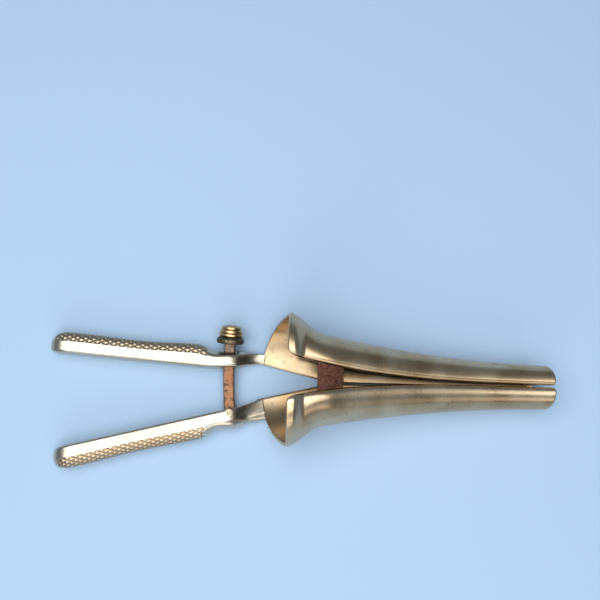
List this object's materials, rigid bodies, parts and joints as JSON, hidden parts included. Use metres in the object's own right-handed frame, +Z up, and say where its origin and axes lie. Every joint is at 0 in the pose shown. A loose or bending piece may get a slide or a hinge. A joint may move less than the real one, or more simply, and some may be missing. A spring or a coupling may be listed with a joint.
{
  "type": "bivalve tube speculum",
  "caption": "Two flared half-tube blades hinged at the mouth, spread by checkered squeeze handles and held by a curved screw with a thumb nut.",
  "frame": {"origin": "hinge axis where it meets the plane the instrument lies on", "axes": "+X along the tube towards its tips, +Y across the split towards the upper blade, +Z up from the rest plane, along the hinge axis"},
  "size_m": [0.219, 0.0686, 0.0429],
  "materials": {
    "blade_metal": "worn nickel plate over brass, satin",
    "handle_metal": "worn nickel plate over brass, polished faces, checkered outer side",
    "hinge_steel": "rusty steel",
    "screw_steel": "brown rusty steel",
    "pin_steel": "worn steel",
    "washer_brass": "dark tarnished brass",
    "nut_brass": "worn brass"
  },
  "bodies": {
    "lower_lever": {"lower_valve": "blade_metal", "lower_handle": "handle_metal", "lower_hinge_leaf": "hinge_steel", "hinge_rivet": "hinge_steel", "screw_pivot_pin": "pin_steel"},
    "upper_lever": {"upper_valve": "blade_metal", "upper_handle": "handle_metal", "upper_hinge_leaf": "hinge_steel"},
    "screw": {"adjusting_screw": "screw_steel"},
    "washer": {"nut_washer": "washer_brass"},
    "nut": {"thumb_nut": "nut_brass"}
  },
  "joints": [
    {"name": "blade_hinge", "type": "hinge", "parent": "lower_lever", "child": "upper_lever", "pos_m": [0, 0, 0.005], "axis": [0, 0, 1], "range_deg": [0, 18]},
    {"name": "screw_swing", "type": "hinge", "parent": "lower_lever", "child": "screw", "pos_m": [-0.04365, -0.01444, 0.0042], "axis": [0, 0, 1], "range_deg": [0, 6.5]},
    {"name": "nut_travel", "type": "hinge", "parent": "screw", "child": "washer", "pos_m": [0.03037, -0.00535, 0.08909], "axis": [-0.7457, -0.0916, 0.66], "range_deg": [0, 1.22]},
    {"name": "nut_spin", "type": "hinge", "parent": "washer", "child": "nut", "pos_m": [-0.04443, 0.01888, 0.00794], "axis": [0.0758, 0.9724, 0.2205], "range_deg": [0, 1080]}
  ],
  "couplings": [
    {"joint": "screw_swing", "follows": "blade_hinge", "ratio": 0.352},
    {"joint": "nut_travel", "follows": "nut_spin", "ratio": 0.0011268}
  ]
}
